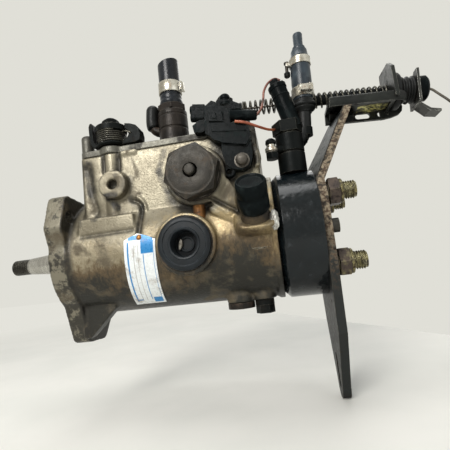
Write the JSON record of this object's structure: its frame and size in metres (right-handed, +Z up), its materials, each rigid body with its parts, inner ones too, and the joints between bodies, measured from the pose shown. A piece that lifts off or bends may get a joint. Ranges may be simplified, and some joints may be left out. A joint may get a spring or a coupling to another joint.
{
  "type": "diesel injection pump",
  "caption": "Rotary diesel injection pump with a mechanical governor, flange mounting, tapered drive shaft, stop solenoid, throttle and stop levers and a throttle cable on a rear bracket",
  "frame": {"origin": "on the drive shaft's axis, in the front face of the mounting flange", "axes": "+X along the shaft to the rear, +Z up through the governor cover, +Y to the side away from the hexagonal plug"},
  "size_m": [0.3635, 0.1255, 0.2616],
  "materials": {
    "cast_alloy": "sand-cast and oil-stained, rough",
    "black_iron": "black, satin",
    "plated_steel": "zinc-plated, slightly dull",
    "yellow_zinc": "yellow passivated zinc, worn",
    "rusty_steel": "black paint with rusty edges",
    "dark_steel": "dark and oily",
    "brown_plastic": "brown moulded, matt",
    "black_plastic": "black moulded, matt",
    "bronze": "bronze, tarnished",
    "hose_rubber": "dark blue-grey rubber",
    "lead_red": "reddish brown insulation",
    "bright_steel": "ground steel, oiled"
  },
  "bodies": {
    "pump": {"pump_housing": "cast_alloy", "governor_cover": "cast_alloy", "cover_screws": "plated_steel", "cover_post": "black_iron", "hydraulic_head": "black_iron", "head_lock_bolt": "black_iron", "drain_plug": "bronze", "outlet_unions": "yellow_zinc", "rear_bracket": "rusty_steel", "bracket_screws": "plated_steel", "advance_plug": "dark_steel", "inspection_plug": "dark_steel", "cold_start_collar": "brown_plastic", "cold_start_cap": "black_plastic", "return_union": "yellow_zinc", "return_hose": "hose_rubber", "hose_clips": "plated_steel", "inlet_body": "black_iron", "stop_solenoid": "black_plastic", "inlet_hose": "hose_rubber", "inlet_nozzle": "black_plastic", "throttle_switch": "black_plastic", "solenoid_lead": "lead_red", "switch_lead": "lead_red", "cable_bracket": "yellow_zinc", "cable_adjuster": "black_plastic", "cable_grommet": "hose_rubber", "cable_clip": "plated_steel", "throttle_return_spring": "dark_steel", "stop_spring": "dark_steel", "shaft_seal": "hose_rubber", "shaft_bush": "bronze", "governor_pivot_pin": "bright_steel", "governor_spring": "dark_steel", "transfer_liner": "bright_steel", "transfer_end_plate": "bright_steel", "advance_spring": "dark_steel"},
    "drive_train": {"drive_shaft": "bright_steel", "woodruff_key": "bright_steel", "governor_cage": "bright_steel", "distributor_rotor": "bright_steel", "cam_rollers": "bright_steel", "transfer_blades": "bright_steel"},
    "weight_1": {"flyweight_1": "bright_steel"},
    "weight_2": {"flyweight_2": "bright_steel"},
    "weight_3": {"flyweight_3": "bright_steel"},
    "weight_4": {"flyweight_4": "bright_steel"},
    "sleeve": {"thrust_sleeve": "bright_steel"},
    "arm": {"governor_arm": "bright_steel"},
    "link": {"metering_link": "bright_steel"},
    "valve": {"metering_valve": "bright_steel"},
    "cam": {"cam_ring": "bright_steel"},
    "piston": {"advance_piston": "bright_steel"},
    "throttle": {"throttle_lever": "black_iron", "throttle_shaft": "black_iron"},
    "wire": {"throttle_wire": "bright_steel"},
    "stop": {"stop_lever": "black_iron", "stop_shaft": "plated_steel", "stop_disc": "bronze"},
    "plunger": {"solenoid_plunger": "bright_steel"}
  },
  "joints": [
    {"name": "drive_spin", "type": "hinge", "parent": "pump", "child": "drive_train", "pos_m": [0, 0, 0], "axis": [1, 0, 0], "continuous": true},
    {"name": "governor_slide", "type": "slide", "parent": "drive_train", "child": "sleeve", "axis": [1, 0, 0], "range_m": [0, 0.004], "stiffness_N_per_m": 200, "springref_m": -0.002, "deforming": ["governor_spring"]},
    {"name": "flyweight_1_swing", "type": "hinge", "parent": "drive_train", "child": "weight_1", "pos_m": [0.052, 0, 0.021], "axis": [0, -1, 0], "range_deg": [0, 26.8]},
    {"name": "flyweight_2_swing", "type": "hinge", "parent": "drive_train", "child": "weight_2", "pos_m": [0.052, -0.021, 0], "axis": [0, 0, -1], "range_deg": [0, 26.8]},
    {"name": "flyweight_3_swing", "type": "hinge", "parent": "drive_train", "child": "weight_3", "pos_m": [0.052, 0, -0.021], "axis": [0, 1, 0], "range_deg": [0, 26.8]},
    {"name": "flyweight_4_swing", "type": "hinge", "parent": "drive_train", "child": "weight_4", "pos_m": [0.052, 0.021, 0], "axis": [0, 0, 1], "range_deg": [0, 26.8]},
    {"name": "governor_arm_tilt", "type": "hinge", "parent": "pump", "child": "arm", "pos_m": [0.08, 0, 0.026], "axis": [0, -1, 0], "range_deg": [0, 15.5]},
    {"name": "metering_link_slide", "type": "slide", "parent": "pump", "child": "link", "axis": [-1, 0, 0], "range_m": [0, 0.0052]},
    {"name": "metering_valve_turn", "type": "hinge", "parent": "pump", "child": "valve", "pos_m": [0.126, 0.012, 0.03], "axis": [0, 0, 1], "range_deg": [0, 29.8]},
    {"name": "cam_ring_turn", "type": "hinge", "parent": "pump", "child": "cam", "pos_m": [0.106, 0, 0], "axis": [1, 0, 0], "range_deg": [0, 8], "stiffness_Nm_per_rad": 2, "springref_deg": -2.86, "deforming": ["advance_spring"]},
    {"name": "advance_piston_slide", "type": "slide", "parent": "pump", "child": "piston", "axis": [0, -1, 0], "range_m": [0, 0.00601]},
    {"name": "throttle_turn", "type": "hinge", "parent": "pump", "child": "throttle", "pos_m": [0.1277, -0.014, 0.096], "axis": [0, 0, -1], "range_deg": [0, 27.3], "stiffness_Nm_per_rad": 0.5, "springref_deg": -11.46, "deforming": ["throttle_return_spring"]},
    {"name": "throttle_wire_slide", "type": "slide", "parent": "pump", "child": "wire", "axis": [0.9979, 0, -0.0651], "range_m": [0, 0.01602]},
    {"name": "stop_lever_turn", "type": "hinge", "parent": "pump", "child": "stop", "pos_m": [0.0445, -0.028, 0.08], "axis": [0, 0, 1], "range_deg": [0, 35], "stiffness_Nm_per_rad": 0.4, "springref_deg": -8.59, "deforming": ["stop_spring"]},
    {"name": "solenoid_plunger_slide", "type": "slide", "parent": "pump", "child": "plunger", "axis": [-0.2368, 0, 0.9715], "range_m": [0, 0.0015], "stiffness_N_per_m": 300, "springref_m": -0.001}
  ],
  "couplings": [
    {"joint": "flyweight_1_swing", "follows": "governor_slide", "rad_per_m": 115},
    {"joint": "flyweight_2_swing", "follows": "governor_slide", "rad_per_m": 115},
    {"joint": "flyweight_3_swing", "follows": "governor_slide", "rad_per_m": 115},
    {"joint": "flyweight_4_swing", "follows": "governor_slide", "rad_per_m": 115},
    {"joint": "governor_arm_tilt", "follows": "governor_slide", "rad_per_m": 66.67},
    {"joint": "metering_link_slide", "follows": "governor_slide", "ratio": 1.28},
    {"joint": "metering_valve_turn", "follows": "governor_slide", "rad_per_m": 128},
    {"joint": "advance_piston_slide", "follows": "cam_ring_turn", "m_per_rad": 0.043},
    {"joint": "throttle_wire_slide", "follows": "throttle_turn", "m_per_rad": 0.0336}
  ]
}
